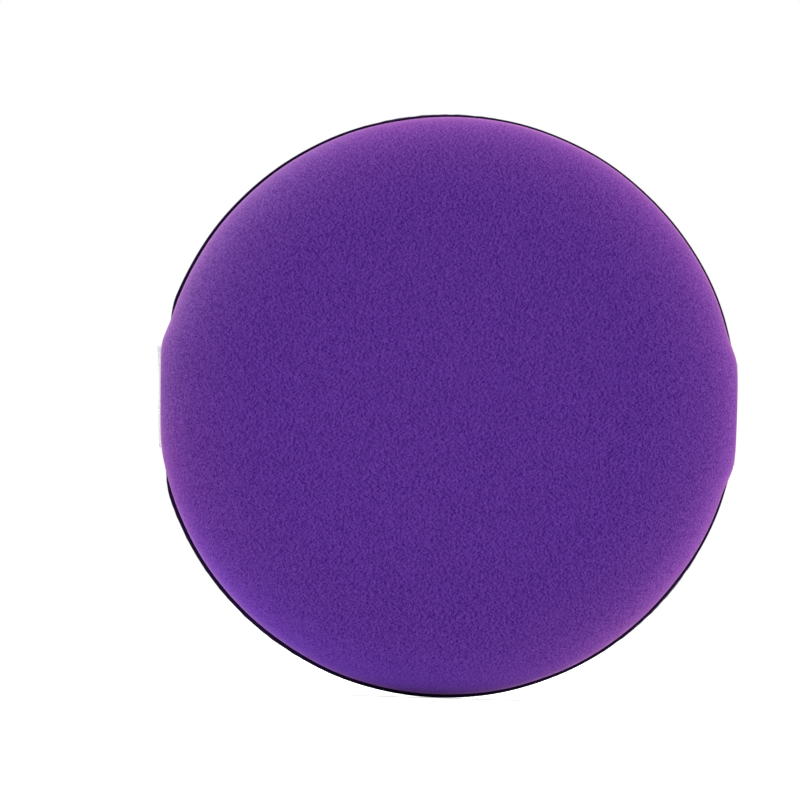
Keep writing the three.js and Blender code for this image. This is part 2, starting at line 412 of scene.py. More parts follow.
def microfoam_finish():
    material, tree, shader = new_finish(
        "purple microfoam",
        Roughness=0.92,
        Specular_IOR_Level=0.07,
        Sheen_Weight=0.4,
        Sheen_Roughness=0.4,
        Sheen_Tint=PURPLE_SHEEN,
    )
    place = object_place(tree)
    upright = mapped(place, Scale=(1, 1, STROKE_SQUEEZE))
    flecks = effect(foam_flecks, upright, Strokes_per_metre=STROKES_PER_METRE, Contrast=5.0)
    fleck = flecks["Fleck"]
    # Painted sheen for the roll, mixed into the colour where the foam faces sideways.
    painted_sheen = mixed(fleck, *ROLL_PAINTED_SHEEN)
    # The painted sheen turns paler at the upper left, where the left lamp is strongest, and bluer at the
    # bottom, where less light falls.
    painted_sheen = mixed(across_disc(place, *LIT_UPPER_LEFT), painted_sheen, mixed(fleck, *PALE_PAINTED_SHEEN))
    painted_sheen = mixed(across_disc(place, *SHADED_BOTTOM), painted_sheen, mixed(fleck, *LOW_PAINTED_SHEEN))
    foam = mixed(stored(tree, "side"), mixed(fleck, *PURPLE), painted_sheen)
    # Melted foam at the flange, deepened by painted shade into a dark line, and painted shade on the side
    # towards it.
    melted = mixed(noise(place, GRAINS_PER_METRE)["Fac"], *MELTED)
    colour = mixed(stored(tree, "crush_and_shade"), foam, melted)
    dress(shader, colour, flecks["Pore"], strength=0.35, depth=0.06 * MM)
    return material


microfoam = microfoam_finish()
print("finish:", microfoam.name)

# %% [markdown]
# The weld bead is the same foam, melted right through. It is dark, a little glossy and uneven. The layers
# inside are never seen on a whole puff, but they come apart on a bench, so they have finishes of their own:
# a milky film, and a white open foam. Clouds of noise are enough for the weld and the film, which are thin
# and plain. The white foam takes the same flecks as the purple one, but larger.

# %% Finishes of the weld and the inner layers


def cloudy_finish(name, tones, scale, detail, strength, depth, **constants):
    """An uneven finish, cloudy in two tones."""
    material, tree, shader = new_finish(name, **constants)
    clouds = noise(object_place(tree), scale, Detail=detail)["Fac"]
    dress(shader, mixed(clouds, *tones), clouds, strength, depth)
    return material


def sponge_finish():
    material, tree, shader = new_finish("white sponge", Roughness=0.95, Specular_IOR_Level=0.2)
    flecks = effect(foam_flecks, object_place(tree), Strokes_per_metre=900, Contrast=1.6)
    dress(shader, mixed(flecks["Fleck"], *SPONGE), flecks["Pore"], strength=0.8, depth=0.2 * MM)
    return material


weld = cloudy_finish(
    "melted weld", MELTED, scale=1500, detail=3, strength=0.5, depth=0.08 * MM,
    Roughness=0.55, Specular_IOR_Level=0.35,
)
film = cloudy_finish(
    "milky film", FILM, scale=180, detail=2, strength=0.2, depth=0.05 * MM, Roughness=0.3,
)
sponge = sponge_finish()
print("finishes:", [finish.name for finish in (weld, film, sponge)])

# %% [markdown]
# Satin has long floats on its face, which lie all one way and make a soft gloss. On the back the floats
# show as faint slanted lines, with painted shade in the gaps between them. The ribbon is a coarser satin:
# its floats lie along the ribbon, on its own map, in staggered rows that are easy to see where light rakes
# them.
# Both take the same effect, each with its own sizes. The loops at the ribbon's edge are one twisted thread,
# so a wave is enough for them.

# %% Satin and ribbon finishes
SATIN_SLANT = math.radians(-58)


def slanted(tree):
    """A map of the back, turned so that the floats slant."""
    upright = mapped(object_place(tree), Rotation=(math.pi / 2, 0, 0))
    return mapped(upright, Rotation=(0, 0, SATIN_SLANT))


def along_ribbon(tree):
    """The ribbon's own map."""
    return add_node(tree, "ShaderNodeUVMap", uv_map="ribbon").outputs["UV"]


def cloth_finish(name, tones, lay, specular, strength, depth, **sizes):
    """A satin, whose floats have their own sizes and lie on a map."""
    material, tree, shader = new_finish(
        name, Roughness=0.5, Sheen_Weight=0.15, Sheen_Roughness=0.4, Specular_IOR_Level=specular,
    )
    floats = effect(woven_floats, lay(tree), **sizes)
    # The gaps between the floats take the darker tone: painted shade.
    dress(shader, mixed(floats["Gap"], *tones), floats["Height"], strength, depth)
    return material


def thread_finish():
    material, tree, shader = new_finish(
        "picot thread", Roughness=0.45, Sheen_Weight=0.2, Sheen_Roughness=0.35, Specular_IOR_Level=0.45,
    )
    inputs = {"Vector": object_place(tree), "Scale": 2600, "Distortion": 2}
    twist = add_node(tree, "ShaderNodeTexWave", inputs).outputs["Fac"]
    fill(shader.inputs["Base Color"], mixed(twist, *THREAD))
    return material


satin = cloth_finish(
    "white satin", SATIN, slanted, specular=0.4, strength=0.3, depth=0.03 * MM,
    Float_length=1.9 * MM, Float_width=0.4 * MM, Row_step=0.29, Patches_per_metre=90,
)
ribbon_satin = cloth_finish(
    "ribbon satin", RIBBON, along_ribbon, specular=0.35, strength=0.6, depth=0.06 * MM,
    Float_length=0.62 * MM, Float_width=0.27 * MM, Row_step=0.38, Patches_per_metre=260,
)
picot_thread = thread_finish()
print("finishes:", [finish.name for finish in (satin, ribbon_satin, picot_thread)])

# %% [markdown]
# The layers of the pad are all round, so each is drawn as a profile: half of its cut, from the axis out to
# the rim and back. A profile is put together from straight and curved stretches. They are arrays of radii
# and depths, so that layers that lie on each other can share a stretch.

# %% Lines of a profile


def curve_points(first, first_pull, last_pull, last, steps):
    """Points on a cubic curve from first to last, which leaves and arrives along its two pulls."""
    t = np.linspace(0, 1, steps + 1)[:, None]
    a, b, c, d = (np.array(p, float) for p in (first, first_pull, last_pull, last))
    return (1 - t) ** 3 * a + 3 * (1 - t) ** 2 * t * b + 3 * (1 - t) * t * t * c + t**3 * d


def fillet_points(first, corner, last, steps):
    """Points on a small curve that rounds a corner."""
    return curve_points(first, corner, corner, last, steps)


def line_points(first, last, steps=1):
    """Points on a straight line."""
    return np.linspace(np.array(first, float), np.array(last, float), steps + 1)


def joined(*stretches):
    """One profile from several stretches that share their end points."""
    return np.concatenate([stretches[0]] + [s[1:] for s in stretches[1:]])


def between(first, last, share):
    """What lies a share of the way from first to last."""
    return first + (last - first) * share


# %% [markdown]
# Points and faces are worked out as arrays and handed to Blender at once, which is quicker than adding them
# one by one. A closed mesh has its faces turned to point outwards, so that its outside is shaded.

# %% Meshes from points


def mesh_object(name, points, faces, material):
    """A smooth mesh object at the origin, with one material."""
    mesh = bpy.data.meshes.new(name)
    mesh.from_pydata([tuple(p) for p in points], [], faces)
    mesh.shade_smooth()
    mesh.materials.append(material)
    return placed(name, mesh)


def closed_object(name, points, faces, material):
    """A mesh object that is closed, with its faces turned to point out of it."""
    made = mesh_object(name, points, faces, material)
    work = bmesh.new()
    work.from_mesh(made.data)
    bmesh.ops.recalc_face_normals(work, faces=work.faces)
    work.to_mesh(made.data)
    work.free()
    return made


def quads(*corners):
    """Faces from four arrays, which hold the numbers of their corners."""
    return np.stack(corners, axis=-1).reshape(-1, 4).tolist()


def ring_faces(rings, around):
    """Faces between rings of points, each ring closed on itself."""
    here = np.arange(rings * around).reshape(rings, around)
    after = np.roll(here, -1, axis=1)
    return quads(here[:-1], after[:-1], after[1:], here[1:])


# %% [markdown]
# A profile is turned round the axis, as a potter turns a bowl: it sweeps round in steps. A Screw modifier
# could do that too, but here small irregularities are worked into the arrays before the mesh is made.

# %% Turning a profile
SPOKES = 360


def turned(name, profile, material, shape=None):
    """A closed body of revolution from a profile that starts and ends on the axis.
    shape(x, y, z) may return changed places before the mesh is made."""
    rings = profile[1:-1]
    angle = np.linspace(0, 2 * math.pi, SPOKES, endpoint=False)
    radius, y = (np.repeat(column[:, None], SPOKES, axis=1) for column in rings.T)
    x, z = radius * np.cos(angle), axis_height + radius * np.sin(angle)
    if shape is not None:
        x, y, z = shape(x, y, z)
    points = np.stack([x, y, z], axis=-1).reshape(-1, 3)
    poles = [(0, profile[0][1], axis_height), (0, profile[-1][1], axis_height)]
    faces = ring_faces(len(rings), SPOKES)
    first_pole, last_pole = len(points), len(points) + 1
    last_ring = len(points) - SPOKES
    for spoke in range(SPOKES):
        after = (spoke + 1) % SPOKES
        faces.append((first_pole, after, spoke))
        faces.append((last_pole, last_ring + spoke, last_ring + after))
    return closed_object(name, np.concatenate([points, poles]), faces, material)


# %% [markdown]
# The face is the piece that the photograph shows most: a flat middle, a wide roll to the side, then a side
# that draws in to the weld and ends in a thin crushed flange. It could be sculpted, but a moulded foam is
# even all round, so it is turned, and only then made less perfect. The dome, from the axis to the widest
# point of the side, comes first, because the layers inside repeat it.

# %% Dome of the face
EDGE_WIDTH = 9.1 * MM
EDGE_HEIGHT = 3.9 * MM
EDGE_PULLS = (0.72, 0.66)

face_level = skin_low.y
side_level = face_level + EDGE_HEIGHT
face_flat_radius = side_radius - EDGE_WIDTH


def dome_profile(inset, side, flat_steps, edge_steps):
    """From the axis over the face to the widest point of the side, a distance inside the skin's surface."""
    level = face_level + inset
    width, height = EDGE_WIDTH - inset, EDGE_HEIGHT - inset
    return joined(
        line_points((0, level), (face_flat_radius, level), flat_steps),
        curve_points(
            (face_flat_radius, level),
            (face_flat_radius + width * EDGE_PULLS[0], level),
            (side, side_level - height * EDGE_PULLS[1]),
            (side, side_level),
            edge_steps,
        ),
    )


def inner_dome(inset, flat_steps=3, edge_steps=10):
    """The same profile for a layer inside the skin."""
    return dome_profile(inset, side_radius - inset, flat_steps, edge_steps)


print(f"flat middle of the face: {2 * face_flat_radius / MM:.1f} mm across")

# %% [markdown]
# Behind its widest point the side draws in to a neck, turns out again into the flange and ends in a small
# round lip. The inside of the skin is the same dome, one thickness further in.

# %% Profile of the face
SIDE_PINCH = 0.7 * MM
SIDE_PULLS = (0.33, 0.7)
SIDE_PULL_OUT = 0.2
SKIN_THICKNESS = 2 * MM
FLANGE_THICKNESS = 0.3 * MM
FLANGE_LEAN = 0.02 * MM
LIP_PULLS = (0.3, 0.5)
NECK_WIDTH = 0.2 * MM
NECK_HEIGHT = 0.15 * MM
ROLL_INSET = 0.17 * MM

roll_radius = side_radius - ROLL_INSET
seam_front = skin_high.y
flange_front = seam_front - FLANGE_THICKNESS


def face_profile():
    neck = side_radius - SIDE_PINCH
    neck_top = flange_front - NECK_HEIGHT
    edge = rim_radius
    lip = FLANGE_THICKNESS / 2
    outside = joined(
        dome_profile(0, roll_radius, flat_steps=14, edge_steps=30),
        curve_points(
            (roll_radius, side_level),
            (roll_radius, between(side_level, flange_front, SIDE_PULLS[0])),
            (neck + SIDE_PINCH * SIDE_PULL_OUT, between(side_level, flange_front, SIDE_PULLS[1])),
            (neck, neck_top),
            steps=12,
        ),
        fillet_points((neck, neck_top), (neck, flange_front), (neck + NECK_WIDTH, flange_front), steps=4),
        line_points((neck + NECK_WIDTH, flange_front), (edge - lip, flange_front), steps=3),
        curve_points(
            (edge - lip, flange_front),
            (edge - lip * LIP_PULLS[0], flange_front),
            (edge, flange_front + lip * LIP_PULLS[1]),
            (edge, flange_front + lip),
            steps=4,
        ),
        line_points((edge, flange_front + lip), (edge - FLANGE_LEAN, seam_front)),
    )
    inside = inner_dome(SKIN_THICKNESS, flat_steps=4)[::-1]
    foot = (side_radius - SKIN_THICKNESS, seam_front)
    return joined(outside, np.array([outside[-1], foot, inside[0]]), inside)


face_line = face_profile()
print("profile of the face:", len(face_line), "points")

# %% [markdown]
# Some small irregularities are shared by the pad's layers. Noise could disturb the whole mesh, but these
# have causes, so each is a function of its own. A wave of less than a tenth of a millimetre runs round the
# side. A soft limit pulls the side straight at the ribbon, and the foam that it squeezes bulges out beside
# it, least at the lower left. A notch takes the flange away where the ribbon folds over the rim, and beside
# it the pull of the ribbon draws the rim in behind the roll.

# %% Irregularities
WAVES = [(3, 0.035, 0.4), (5, 0.025, 2.1), (8, 0.018, 4.0), (13, 0.012, 1.2), (21, 0.008, 5.1)]
SAFE_RADIUS = 1 * MM
LIMIT_SOFTNESS = 0.08 * MM
SIDE_LIMITS = (26.95 * MM, 27.2 * MM)
SIDE_FADE = 2.2 * MM
LEFT_LEAN = 0.027
BULGE = 0.35 * MM
BULGE_SPAN = (4.5 * MM, 7.7 * MM)
SLACK_CORNER = 0.2
FLANGE_LIMIT = 26.5 * MM
RIM_DRAWS = (0.4 * MM, 0.05 * MM)
DRAW_SPAN = (6.3 * MM, 9.5 * MM)
NOTCH_CLEARANCE = 0.3 * MM
NOTCH_INSET = 0.2 * MM
NOTCH_FADE = 0.3 * MM

notch_half_width = ribbon_half_width + NOTCH_CLEARANCE


def wave_round(angle):
    """A gentle wave round the rim, in metres, as a sum of a few turns."""
    return sum(size * MM * np.sin(turns * angle + start) for turns, size, start in WAVES)


def step_between(value, low, high):
    """0 below low, 1 above high, and smooth between."""
    t = np.clip((value - low) / (high - low), 0, 1)
    return t * t * (3 - 2 * t)


def pulled_straight(x, z, limits, half_width, fade):
    """x held softly inside a limit on each side, over the ribbon's width."""
    share = 1 - step_between(np.abs(z - axis_height), half_width, half_width + fade)
    over = np.abs(x) - np.where(x > 0, limits[1], limits[0])
    held = np.abs(x) - LIMIT_SOFTNESS * np.logaddexp(0, over / LIMIT_SOFTNESS)
    return between(x, np.sign(x) * held, share)


def moved_out(x, z, distance):
    """Places moved away from the axis by a distance."""
    up = z - axis_height
    scale = 1 + distance / np.maximum(np.hypot(x, up), SAFE_RADIUS)
    return x * scale, axis_height + up * scale


def drawn_in(x, z):
    """How far the rim is drawn in beside the ribbon's ends."""
    size = np.where(x < 0, *RIM_DRAWS) * (np.abs(x) > rim_radius / 2)
    return size * (1 - step_between(np.abs(z - axis_height), *DRAW_SPAN))


def trimmed_rim(x, z):
    """Places on a flange, drawn in beside the ribbon and cut back behind it."""
    x, z = moved_out(x, z, -drawn_in(x, z))
    limits = (FLANGE_LIMIT, FLANGE_LIMIT)
    return pulled_straight(x, z, limits, notch_half_width - NOTCH_INSET, NOTCH_FADE), z


def bulge_beside_ribbon(x, up):
    """How far the foam is squeezed out beside the ribbon's ends."""
    size = BULGE * (1 - step_between(np.abs(up), *BULGE_SPAN)) * (np.abs(x) > rim_radius / 2)
    slack = (1 - SLACK_CORNER) * (1 - step_between(up, -BULGE_SPAN[0], BULGE_SPAN[0])) * (x < 0)
    return size * (1 - slack)


wave = np.abs(wave_round(np.linspace(0, 2 * math.pi, SPOKES)))
print(f"wave round the side: up to {wave.max() / MM:.3f} mm")

# %% [markdown]
# With these the face is turned, and two values are stored for each of its points: how far it looks
# sideways, for the painted sheen, and how far the weld has crushed it, with painted shade on the side.

# %% Face
ROLL_SHIFT = 0.025 * MM
FLANGE_STEP = (-0.3 * MM, -0.05 * MM)
CRUSH_STEP = (-0.35 * MM, -0.08 * MM)
DARK_EDGE = (0.4 * MM, 0.7 * MM)
# Painted shade: the side darkens towards the flange, behind the roll. The flange is dark from melting, and
# its edge darker still as painted shade.
SIDE_SHADE = 0.3
SIDE_SHADE_REACH = 2 * MM
FLANGE_CRUSH = 0.6
MOST_SHEEN = 0.81


def face_shape(x, y, z):
    up = z - axis_height
    share = step_between(np.hypot(x, up), face_flat_radius, side_radius)
    flange = step_between(y - flange_front, *FLANGE_STEP)
    grown = wave_round(np.arctan2(up, x)) + bulge_beside_ribbon(x, up) * (1 - flange)
    x, z = moved_out(x, z, share * grown)
    limits = (SIDE_LIMITS[0] + LEFT_LEAN * (z - axis_height), SIDE_LIMITS[1])
    x = pulled_straight(x, z, limits, ribbon_half_width, SIDE_FADE)
    trimmed_x, trimmed_z = trimmed_rim(x, z)
    x = x + ROLL_SHIFT * share * (1 - flange)
    return between(x, trimmed_x, flange), y, between(z, trimmed_z, flange)


def store(made, name, values):
    """Stores a value for each point of a mesh."""
    attribute = made.data.attributes.new(name, "FLOAT", "POINT")
    attribute.data.foreach_set("value", values.astype(np.float32))


def mark_foam(made):
    """Stores how far each point of the face looks sideways, for the painted sheen, and how dark it is made
    by the weld and by painted shade.
    """
    x, y, z = np.array([v.co for v in made.data.vertices]).T
    facing = np.array([v.normal for v in made.data.vertices])
    # How far the foam faces sideways, which is where the painted sheen goes.
    store(made, "side", np.sqrt(np.clip(1 - np.abs(facing[:, 1]), 0, MOST_SHEEN)))
    to_edge = rim_radius - drawn_in(x, z) - np.hypot(x, z - axis_height)
    # Painted shade on the side towards the flange, then the melted flange, darkest at its edge.
    side = SIDE_SHADE * step_between(y, side_level - SIDE_SHADE_REACH, flange_front)
    flange = step_between(y - flange_front, *CRUSH_STEP)
    edge = 1 - step_between(to_edge, *DARK_EDGE)
    store(made, "crush_and_shade", np.maximum(side, flange * between(FLANGE_CRUSH, 1, edge)))


face = turned("face_pad", face_line, microfoam, face_shape)
mark_foam(face)
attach(face, "pad")
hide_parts("face_skin")
print("face:", len(face.data.vertices), "points")

# %% [markdown]
# The back isn't flat. The satin lies level in the middle and slopes down to the rim, and the thin foam sheet
# under it follows. So the slope is drawn once, for any distance below the satin's outside.

# %% Slope of the back
SATIN_THICKNESS = 0.3 * MM
CROWN_RADIUS = 9 * MM
CROWN_PULL = 10 * MM
FOOT_INSET = 0.6 * MM
FOOT_PULL = 4.6 * MM

seam_back = satin_low.y
satin_level = satin_high.y


def satin_slope(inset, steps):
    """The satin's long slope from its level middle down to the rim, a distance below its outside."""
    rim_level = seam_back + SATIN_THICKNESS - inset
    level = satin_level - inset
    foot = rim_radius - FOOT_INSET
    return curve_points(
        (CROWN_RADIUS, level),
        (CROWN_RADIUS + CROWN_PULL, level),
        (foot - FOOT_PULL, rim_level),
        (foot, rim_level),
        steps,
    )


print(f"the satin slopes by {(satin_level - seam_back - SATIN_THICKNESS) / MM:.2f} mm")

# %% [markdown]
# The film, the core and the thin foam sheet fill the pad between skin and satin. They aren't seen, so plain
# discs could stand for them, but the puff may be taken apart. Each is turned from the same dome or slope,
# further in, with the glue's small gap between them.

# %% Film, core and thin foam sheet
SHEET_EDGE = 0.06 * MM

film_inset = film_low.y - face_level
core_inset = core_low.y - face_level
glue_gap = film_inset - SKIN_THICKNESS
film_inside = core_inset - glue_gap


def film_profile():
    outside, inside = inner_dome(film_inset), inner_dome(film_inside)[::-1]
    skirt = [(side_radius - inset, seam_front) for inset in (film_inset, film_inside)]
    return joined(outside, np.array([outside[-1], *skirt, inside[0]]), inside)


def core_profile():
    dome = inner_dome(core_inset)
    back = core_high.y
    return joined(dome, np.array([dome[-1], (core_radius, back), (0, back)]))


def sheet_profile():
    front = sheet_low.y
    under_satin = satin_slope(satin_level - sheet_high.y, steps=24)
    under_satin = under_satin[under_satin[:, 1] > front + SHEET_EDGE]
    first, edge = under_satin[0], under_satin[-1]
    return joined(
        line_points((0, front), (edge[0], front), steps=2),
        line_points((edge[0], front), edge),
        under_satin[::-1],
        line_points(first, (0, first[1]), steps=2),
    )


for name, profile, finish, node, slot in (
    ("film_layer", film_profile(), film, "barrier_film", "clear_film"),
    ("core_sponge", core_profile(), sponge, "foam_core", "sponge"),
    ("back_sheet", sheet_profile(), sponge, "back_foam", "sponge"),
):
    layer = turned(name, profile, finish)
    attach(layer, "pad")
    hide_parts(node)
    print("inner layer:", name)

# %% [markdown]
# The satin back is a disc of cloth, glued over the thin foam and drawn down to the weld. Drawing waves on
# it by hand looks drawn, so a cloth simulation finds them: a disc a little too big for its rim is held at
# the rim, pulled softly to the foam below everywhere else, and left to settle. It is run twenty times too
# large, because cloth solvers are made for clothes and not for millimetres.

# %% Cloth that settles
CLOTH_RINGS = 30
RING_GROWTH = 6
CLOTH_SCALE = 20
CLOTH_PULL = 0.12
CLOTH_FRAMES = 20
CLOTH_SEED = 4
CLOTH_UNEVENNESS = 0.006 * MM
CLOTH_SETTINGS = {
    "quality": 6,
    "mass": 0.05,
    "shear_stiffness": 5,
    "bending_stiffness": 3,
    "shrink_min": -0.008,
    "vertex_group_mass": "held",
}
HULL_TRIANGLES = 0
SAME_PLACE = 1e-9

cloth_radius = rim_radius - FOOT_INSET


def ring_turns(k):
    """Angles of the places on a ring of the cloth. Every second ring is turned by half a step."""
    count = RING_GROWTH * k
    return (np.arange(count) + 0.5 * (k % 2)) * 2 * math.pi / count


def cloth_disc():
    """Flat places of a disc in rings of even steps, with the ring of each."""
    places, ring = [(0.0, 0.0)], [0]
    for k in range(1, CLOTH_RINGS + 1):
        turn = ring_turns(k)
        reach = cloth_radius * k / CLOTH_RINGS
        places += list(zip(reach * np.cos(turn), reach * np.sin(turn)))
        ring += [k] * len(turn)
    return np.array(places), np.array(ring)


def settled_lift():
    """Lets the cloth settle and returns each place's lift over the satin's smooth slope."""
    places, ring = cloth_disc()
    free = ring < CLOTH_RINGS - 1
    slope = satin_slope(0, steps=60)
    smooth = np.interp(np.hypot(*places.T), slope[:, 0], slope[:, 1])
    chance = np.random.default_rng(CLOTH_SEED)
    start = smooth + chance.normal(0, CLOTH_UNEVENNESS, len(places)) * free
    flat = [Vector(place) for place in places]
    _, _, triangles, origin, _, _ = delaunay_2d_cdt(flat, [], [], HULL_TRIANGLES, SAME_PLACE)
    faces = [tuple(origin[corner][0] for corner in triangle) for triangle in triangles]
    points = np.stack([places[:, 0], start, places[:, 1]], axis=-1) * CLOTH_SCALE
    cloth = mesh_object("satin_cloth", points, faces, satin)
    held = cloth.vertex_groups.new(name="held")
    held.add(np.where(~free)[0].tolist(), 1.0, "REPLACE")
    held.add(np.where(free)[0].tolist(), CLOTH_PULL, "REPLACE")
    modifier = cloth.modifiers.new("cloth", "CLOTH")
    for label, value in CLOTH_SETTINGS.items():
        setattr(modifier.settings, label, value)
    modifier.settings.effector_weights.gravity = 0
    modifier.collision_settings.use_collision = False
    modifier.point_cache.frame_end = CLOTH_FRAMES
    for moment in range(1, CLOTH_FRAMES + 1):
        bpy.context.scene.frame_set(moment)
    settled = cloth.evaluated_get(bpy.context.evaluated_depsgraph_get())
    lift = np.array([v.co.y for v in settled.data.vertices]) / CLOTH_SCALE - smooth
    bpy.data.objects.remove(cloth)
    bpy.context.scene.frame_set(1)
    return ring, lift


print(f"cloth: {CLOTH_RINGS} rings, {cloth_radius / MM:.1f} mm in radius")

# %% [markdown]
# Only the puckers are kept, as a table of lifts by ring and angle, and both faces of the satin are lifted by
# it. They are smoothed and limited, because the glue under real satin lets it lift only a little.

# %% Puckers of the satin
PUCKER_SMOOTHINGS = 3
PUCKER_SHARE = 0.6
PUCKER_LIMIT = 0.11 * MM


def pucker_table():
    """Lift of the satin by ring and spoke, smoothed, without the mean of each ring."""
    table = np.zeros((CLOTH_RINGS + 1, SPOKES))
    ring, lift = settled_lift()
    spokes = np.arange(SPOKES) * 2 * math.pi / SPOKES
    for k in range(1, CLOTH_RINGS + 1):
        ring_lift = lift[ring == k]
        table[k] = np.interp(spokes, ring_turns(k), ring_lift - ring_lift.mean(), period=2 * math.pi)
    for _ in range(PUCKER_SMOOTHINGS):
        table[1:-1] = (table[:-2] + 2 * table[1:-1] + table[2:]) / 4
        table = (np.roll(table, 1, axis=1) + 2 * table + np.roll(table, -1, axis=1)) / 4
    return np.clip(table * PUCKER_SHARE, -PUCKER_LIMIT, PUCKER_LIMIT)


puckers = pucker_table()
print(f"puckers: up to {puckers.max() / MM:.3f} mm, spread {puckers.std() / MM:.3f} mm")

# %% [markdown]
# The satin itself is a closed shell of the cloth's thickness, turned like the other layers and lifted by the
# table. Solidify could thicken a single sheet, but the rounded edge is easier to draw in the profile. The
# edge stops just short of the rim, so the weld shows as a thin dark line round it.

# %% Satin back
SATIN_EDGE_INSET = 0.09 * MM
SATIN_ROUND_WIDTH = 0.1 * MM
SATIN_ROUND_HEIGHT = 0.08 * MM
SATIN_TRIM = (24.4 * MM, 26.5 * MM)


def satin_profile():
    edge = rim_radius - SATIN_EDGE_INSET
    front, back = seam_back, seam_back + SATIN_THICKNESS
    round_low, round_high = (edge, back - SATIN_ROUND_HEIGHT), (edge - SATIN_ROUND_WIDTH, back)
    inner_slope, outer_slope = satin_slope(SATIN_THICKNESS, steps=30), satin_slope(0, steps=44)
    return joined(
        line_points((0, satin_level - SATIN_THICKNESS), inner_slope[0], steps=5),
        inner_slope,
        line_points(inner_slope[-1], (edge, front), steps=2),
        line_points((edge, front), round_low, steps=2),
        fillet_points(round_low, (edge, back), round_high, steps=3),
        line_points(round_high, outer_slope[-1], steps=2),
        outer_slope[::-1],
        line_points(outer_slope[0], (0, satin_level), steps=12),
    )


def satin_shape(x, y, z):
    radius = np.hypot(x, z - axis_height)
    step = np.clip(radius[:, :1] / cloth_radius * CLOTH_RINGS, 0, CLOTH_RINGS)
    low = np.minimum(step.astype(int), CLOTH_RINGS - 1)
    y = y + between(puckers[low[:, 0]], puckers[low[:, 0] + 1], step - low)
    flange = step_between(radius, *SATIN_TRIM)
    trimmed_x, trimmed_z = trimmed_rim(x, z)
    return between(x, trimmed_x, flange), y, between(z, trimmed_z, flange)


back = turned("satin_disc", satin_profile(), satin, satin_shape)
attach(back, "pad")
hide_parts("satin_back")
print("satin:", len(back.data.vertices), "points")

# %% [markdown]
# The weld bead lies between the two flanges, in two arcs that stop at the ribbon. It is a small tube of
# melted foam that swells a little past the satin's edge, which is the thin dark line seen from behind. A
# bevelled curve would be even all along. The real bead is lumpy, so the place of each ring is worked out.

# %% Weld bead
BEAD_STEPS = 240
BEAD_SIDES = 10
BEAD_FLATNESS = 0.6
BEAD_LUMP = 0.03 * MM
BEAD_WAVES = [(57, 0.6), (93, 2.2), (151, 4.1)]


def flat_round(value):
    """A sine or cosine, changed so that the bead's section is a square with round corners."""
    return np.sign(value) * np.abs(value) ** BEAD_FLATNESS


def weld_arc(name, half):
    """One arc of the bead, from one end of the ribbon to the other, closed at both ends."""
    gap_angle = math.asin(notch_half_width / rim_radius)
    angle = np.linspace(gap_angle, math.pi - gap_angle, BEAD_STEPS + 1)[:, None] * half
    reach, lift = (rim_radius - weld_inner) / 2, (weld_high.y - weld_low.y) / 2
    across = np.linspace(0, 2 * math.pi, BEAD_SIDES, endpoint=False)[None, :]
    lumps = BEAD_LUMP * sum(np.sin(turns * angle + start) for turns, start in BEAD_WAVES) / len(BEAD_WAVES)
    edge = rim_radius - drawn_in(rim_radius * np.cos(angle), axis_height + rim_radius * np.sin(angle))
    radius = edge + lumps - reach + flat_round(np.cos(across)) * reach
    depth = np.broadcast_to(weld_level + flat_round(np.sin(across)) * lift, radius.shape)
    places = [radius * np.cos(angle), depth, axis_height + radius * np.sin(angle)]
    faces = ring_faces(BEAD_STEPS + 1, BEAD_SIDES)
    for first in (0, BEAD_STEPS * BEAD_SIDES):
        faces.append(tuple(range(first, first + BEAD_SIDES)))
    return closed_object(name, np.stack(places, axis=-1).reshape(-1, 3), faces, weld)


for name, half, node in (
    ("weld_bead_upper", 1, "rim_weld_upper"),
    ("weld_bead_lower", -1, "rim_weld_lower"),
):
    bead = weld_arc(name, half)
    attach(bead, "pad")
    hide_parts(node)
    print("weld:", name)

# %% [markdown]
# The ribbon is one flat strip. Seen from its edge it starts in the weld, folds over the rim, slopes up,
# runs level over the back and comes down the same way. Its line is worked out once for the right half and
# mirrored. Across its width it is almost flat: the fold is drawn in at its middle and flares at the corners.
# The fold on the left is less even: its lower corner is tucked in. A simulation could drape it, but it is
# held tight by both ends, so a drawn line is closer to the real one.

# %% Line of the ribbon
RIBBON_THICKNESS = 0.25 * MM
FOLD_RADIUS = 0.55 * MM
FOLD_INSET = 0.25 * MM
FOLD_POINTS = 15
CORNER_INSET = 1.2 * MM
STRAIGHT_SHARE = 0.58
BEND_LENGTH = 6 * MM
BEND_PULL = 0.67

band_level = (band_low.y + band_high.y) / 2
fold_x = rim_radius - FOLD_INSET - RIBBON_THICKNESS / 2 - FOLD_RADIUS


def half_line():
    """The right half of the ribbon's middle line, from the weld to the middle of the band."""
    fold_centre = np.array([fold_x, weld_level + FOLD_RADIUS])
    corner = np.array([ramp_low.x - CORNER_INSET, band_level])
    away = corner - fold_centre
    turn = math.atan2(away[1], away[0]) - math.acos(FOLD_RADIUS / np.hypot(*away))
    angle = np.linspace(-math.pi / 2, turn, FOLD_POINTS)
    fold = fold_centre + FOLD_RADIUS * np.stack([np.cos(angle), np.sin(angle)], axis=-1)
    bend_start = between(fold[-1], corner, STRAIGHT_SHARE)
    bend_end = np.array([corner[0] - BEND_LENGTH, band_level])
    pulls = [between(end, corner, BEND_PULL) for end in (bend_start, bend_end)]
    return joined(
        line_points((weld_inner, weld_level), fold[0], steps=3),
        fold,
        line_points(fold[-1], bend_start, steps=22),
        curve_points(bend_start, *pulls, bend_end, steps=26),
        line_points(bend_end, (0, band_level), steps=14),
    )


right_half = half_line()
ribbon_line = np.concatenate([right_half[:-1], (right_half * [-1, 1])[::-1]])
run = np.concatenate([[0], np.cumsum(np.hypot(*np.diff(ribbon_line, axis=0).T))])
print(f"ribbon: {run[-1] / MM:.1f} mm long")

# %% [markdown]
# The strip is made twice over, once for each face, and closed along its edges, so that it has a thickness
# and can be welded, lifted and pressed as one piece. Its map runs along its length and across its width in
# metres, for the weave.

